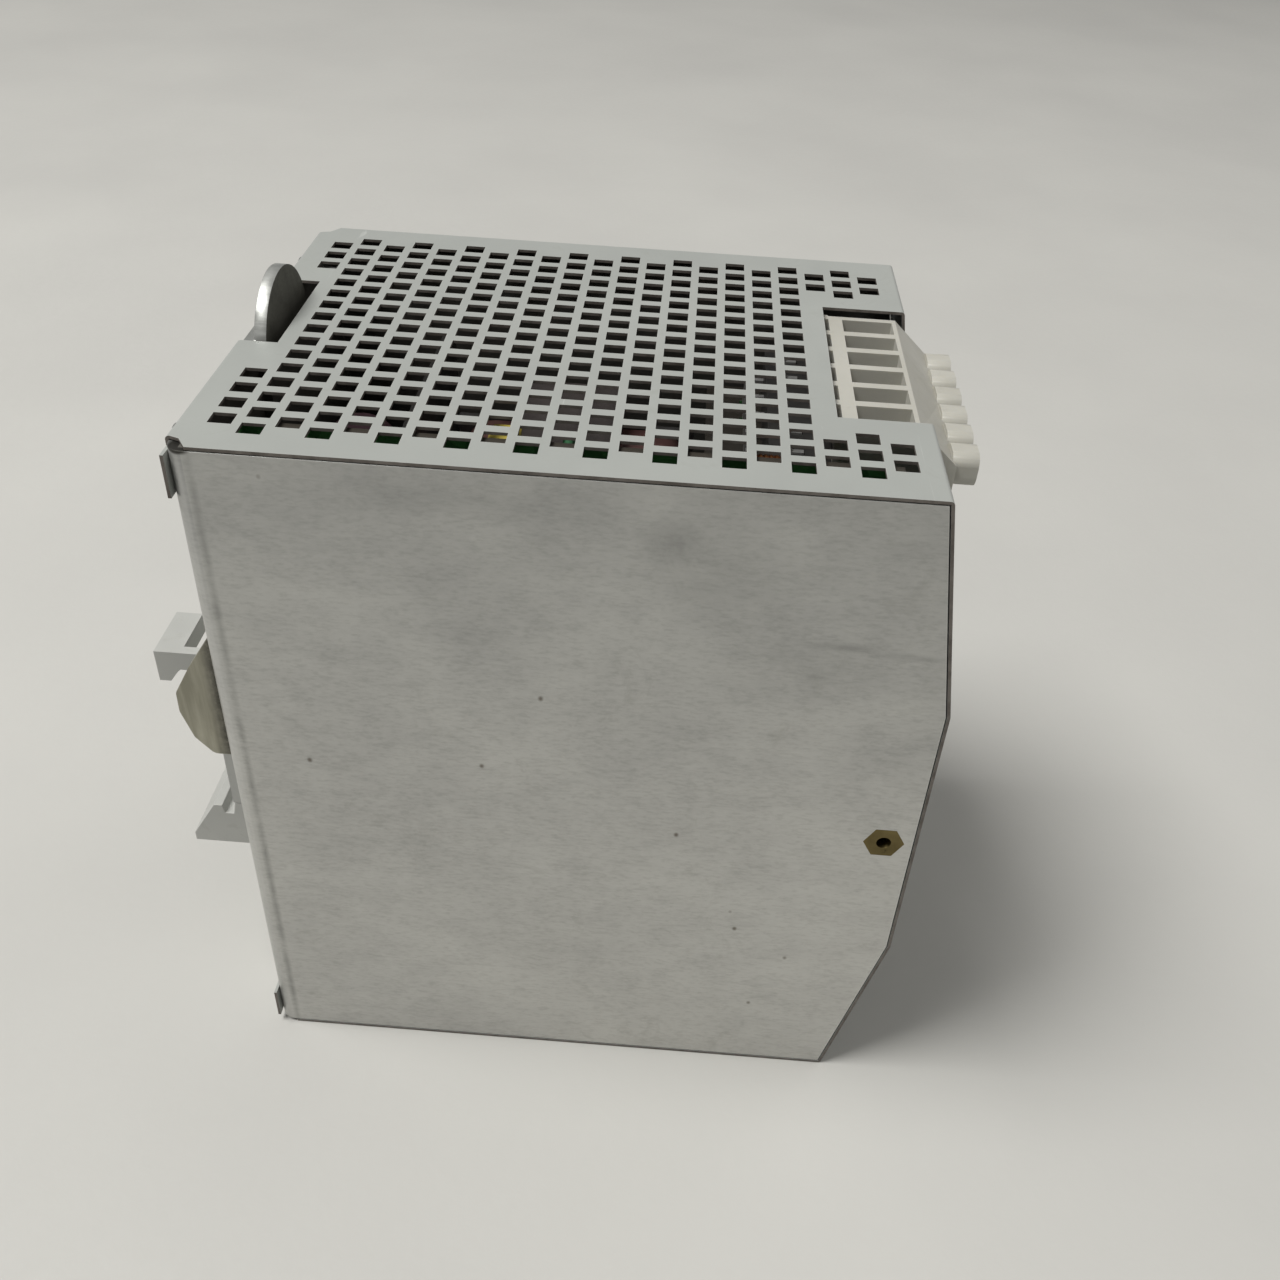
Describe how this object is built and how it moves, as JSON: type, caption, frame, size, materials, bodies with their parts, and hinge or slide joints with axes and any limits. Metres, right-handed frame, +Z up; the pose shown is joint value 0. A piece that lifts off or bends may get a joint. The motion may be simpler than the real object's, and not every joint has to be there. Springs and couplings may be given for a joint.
{
  "type": "din rail power supply",
  "caption": "Boxed power supply for a top hat rail: bent aluminium case, perforated top, pull-off screw terminals front top and bottom, rear rail adapter with sprung foot.",
  "frame": {"origin": "centre of the flat seat that rests on the rail, at the middle of the rail's height", "axes": "+Y towards the rail, -Y out of the front face, +Z up, +X to the right for someone who faces the front"},
  "size_m": [0.0864, 0.1346, 0.137],
  "materials": {
    "raw_aluminium": "bare, fine horizontal grain",
    "painted_sheet": "light grey paint, satin",
    "black_anodised": "black anodised",
    "brass": "dull",
    "chromated_steel": "dull zinc chromate",
    "zinc_steel": "bright zinc",
    "spring_steel": "oiled",
    "tinned_metal": "tin plate",
    "adapter_plastic": "light grey, moulded",
    "terminal_plastic": "light warm grey, moulded",
    "dark_plastic": "moulded",
    "insulator_film": "film",
    "board_green": "solder mask",
    "ferrite": "sintered",
    "winding_tape": "polyester tape",
    "copper_wire": "enamelled",
    "can_sleeve": "shrink sleeve",
    "film_case": "potted case",
    "epoxy_black": "moulded epoxy",
    "fuse_glass": "clear",
    "disc_blue": "dipped",
    "disc_green": "dipped",
    "relay_case": "moulded",
    "lamp_green": "translucent"
  },
  "bodies": {
    "case": {"board_insulator": "insulator_film", "board_screws": "zinc_steel", "board_spacers": "zinc_steel", "bridge_rectifier": "epoxy_black", "bulk_capacitors": "can_sleeve", "chassis": "raw_aluminium", "film_capacitors": "film_case", "header_pins": "tinned_metal", "heat_sinks": "black_anodised", "input_board": "board_green", "input_header": "dark_plastic", "inrush_limiter": "disc_green", "latch_spring": "spring_steel", "line_choke_core": "ferrite", "line_choke_windings": "copper_wire", "line_fuse": "fuse_glass", "main_board": "board_green", "output_board": "board_green", "output_capacitors": "can_sleeve", "output_choke_core": "ferrite", "output_choke_winding": "copper_wire", "output_diodes": "epoxy_black", "output_header": "dark_plastic", "power_transistors": "epoxy_black", "rail_adapter": "adapter_plastic", "rear_screws": "zinc_steel", "side_ear_bracket": "chromated_steel", "side_insert": "brass", "signal_relay": "relay_case", "status_lamp": "lamp_green", "transformer_bobbin": "dark_plastic", "transformer_core": "ferrite", "transformer_winding": "winding_tape", "trimmer_body": "dark_plastic", "varistor": "disc_blue", "wrap_cover": "painted_sheet"},
    "rail_latch": {"rail_latch": "adapter_plastic"},
    "trimmer_rotor": {"trimmer_rotor": "adapter_plastic"},
    "output_plug": {"output_plug": "terminal_plastic", "output_contacts": "tinned_metal"},
    "input_plug": {"input_plug": "terminal_plastic", "input_contacts": "tinned_metal"},
    "output_screw_1": {"output_screw_1": "zinc_steel"},
    "output_clamp_1": {"output_clamp_1": "tinned_metal"},
    "output_screw_2": {"output_screw_2": "zinc_steel"},
    "output_clamp_2": {"output_clamp_2": "tinned_metal"},
    "output_screw_3": {"output_screw_3": "zinc_steel"},
    "output_clamp_3": {"output_clamp_3": "tinned_metal"},
    "output_screw_4": {"output_screw_4": "zinc_steel"},
    "output_clamp_4": {"output_clamp_4": "tinned_metal"},
    "output_screw_5": {"output_screw_5": "zinc_steel"},
    "output_clamp_5": {"output_clamp_5": "tinned_metal"},
    "output_screw_6": {"output_screw_6": "zinc_steel"},
    "output_clamp_6": {"output_clamp_6": "tinned_metal"},
    "input_screw_1": {"input_screw_1": "zinc_steel"},
    "input_clamp_1": {"input_clamp_1": "tinned_metal"},
    "input_screw_2": {"input_screw_2": "zinc_steel"},
    "input_clamp_2": {"input_clamp_2": "tinned_metal"},
    "input_screw_3": {"input_screw_3": "zinc_steel"},
    "input_clamp_3": {"input_clamp_3": "tinned_metal"}
  },
  "joints": [
    {"name": "rail_latch_slide", "type": "slide", "parent": "case", "child": "rail_latch", "axis": [0, 0, -1], "range_m": [0, 0.0045], "stiffness_N_per_m": 1500, "springref_m": -0.002, "deforming": ["latch_spring"]},
    {"name": "output_plug_pull", "type": "slide", "parent": "case", "child": "output_plug", "axis": [0, -1, 0], "range_m": [0, 0.012]},
    {"name": "input_plug_pull", "type": "slide", "parent": "case", "child": "input_plug", "axis": [0, -1, 0], "range_m": [0, 0.012]},
    {"name": "trimmer_turn", "type": "hinge", "parent": "case", "child": "trimmer_rotor", "pos_m": [0.008, -0.118, 0.0485], "axis": [0, -1, 0], "range_deg": [-135, 135]},
    {"name": "output_screw_1_turn", "type": "hinge", "parent": "output_plug", "child": "output_screw_1", "pos_m": [-0.01638, -0.12, 0.0627], "axis": [0, 1, 0], "range_deg": [0, 1152.1]},
    {"name": "output_clamp_1_lift", "type": "slide", "parent": "output_plug", "child": "output_clamp_1", "axis": [0, -1, 0], "range_m": [0, 0.0016]},
    {"name": "output_screw_2_turn", "type": "hinge", "parent": "output_plug", "child": "output_screw_2", "pos_m": [-0.00983, -0.12, 0.0627], "axis": [0, 1, 0], "range_deg": [0, 1152.1]},
    {"name": "output_clamp_2_lift", "type": "slide", "parent": "output_plug", "child": "output_clamp_2", "axis": [0, -1, 0], "range_m": [0, 0.0016]},
    {"name": "output_screw_3_turn", "type": "hinge", "parent": "output_plug", "child": "output_screw_3", "pos_m": [-0.00328, -0.12, 0.0627], "axis": [0, 1, 0], "range_deg": [0, 1152.1]},
    {"name": "output_clamp_3_lift", "type": "slide", "parent": "output_plug", "child": "output_clamp_3", "axis": [0, -1, 0], "range_m": [0, 0.0016]},
    {"name": "output_screw_4_turn", "type": "hinge", "parent": "output_plug", "child": "output_screw_4", "pos_m": [0.00328, -0.12, 0.0627], "axis": [0, 1, 0], "range_deg": [0, 1152.1]},
    {"name": "output_clamp_4_lift", "type": "slide", "parent": "output_plug", "child": "output_clamp_4", "axis": [0, -1, 0], "range_m": [0, 0.0016]},
    {"name": "output_screw_5_turn", "type": "hinge", "parent": "output_plug", "child": "output_screw_5", "pos_m": [0.00983, -0.12, 0.0627], "axis": [0, 1, 0], "range_deg": [0, 1152.1]},
    {"name": "output_clamp_5_lift", "type": "slide", "parent": "output_plug", "child": "output_clamp_5", "axis": [0, -1, 0], "range_m": [0, 0.0016]},
    {"name": "output_screw_6_turn", "type": "hinge", "parent": "output_plug", "child": "output_screw_6", "pos_m": [0.01638, -0.12, 0.0627], "axis": [0, 1, 0], "range_deg": [0, 1152.1]},
    {"name": "output_clamp_6_lift", "type": "slide", "parent": "output_plug", "child": "output_clamp_6", "axis": [0, -1, 0], "range_m": [0, 0.0016]},
    {"name": "input_screw_1_turn", "type": "hinge", "parent": "input_plug", "child": "input_screw_1", "pos_m": [-0.00655, -0.12, -0.0497], "axis": [0, 1, 0], "range_deg": [0, 1152.1]},
    {"name": "input_clamp_1_lift", "type": "slide", "parent": "input_plug", "child": "input_clamp_1", "axis": [0, -1, 0], "range_m": [0, 0.0016]},
    {"name": "input_screw_2_turn", "type": "hinge", "parent": "input_plug", "child": "input_screw_2", "pos_m": [0, -0.12, -0.0497], "axis": [0, 1, 0], "range_deg": [0, 1152.1]},
    {"name": "input_clamp_2_lift", "type": "slide", "parent": "input_plug", "child": "input_clamp_2", "axis": [0, -1, 0], "range_m": [0, 0.0016]},
    {"name": "input_screw_3_turn", "type": "hinge", "parent": "input_plug", "child": "input_screw_3", "pos_m": [0.00655, -0.12, -0.0497], "axis": [0, 1, 0], "range_deg": [0, 1152.1]},
    {"name": "input_clamp_3_lift", "type": "slide", "parent": "input_plug", "child": "input_clamp_3", "axis": [0, -1, 0], "range_m": [0, 0.0016]}
  ],
  "couplings": [
    {"joint": "output_screw_1_turn", "follows": "output_clamp_1_lift", "rad_per_m": 12566},
    {"joint": "output_screw_2_turn", "follows": "output_clamp_2_lift", "rad_per_m": 12566},
    {"joint": "output_screw_3_turn", "follows": "output_clamp_3_lift", "rad_per_m": 12566},
    {"joint": "output_screw_4_turn", "follows": "output_clamp_4_lift", "rad_per_m": 12566},
    {"joint": "output_screw_5_turn", "follows": "output_clamp_5_lift", "rad_per_m": 12566},
    {"joint": "output_screw_6_turn", "follows": "output_clamp_6_lift", "rad_per_m": 12566},
    {"joint": "input_screw_1_turn", "follows": "input_clamp_1_lift", "rad_per_m": 12566},
    {"joint": "input_screw_2_turn", "follows": "input_clamp_2_lift", "rad_per_m": 12566},
    {"joint": "input_screw_3_turn", "follows": "input_clamp_3_lift", "rad_per_m": 12566}
  ]
}
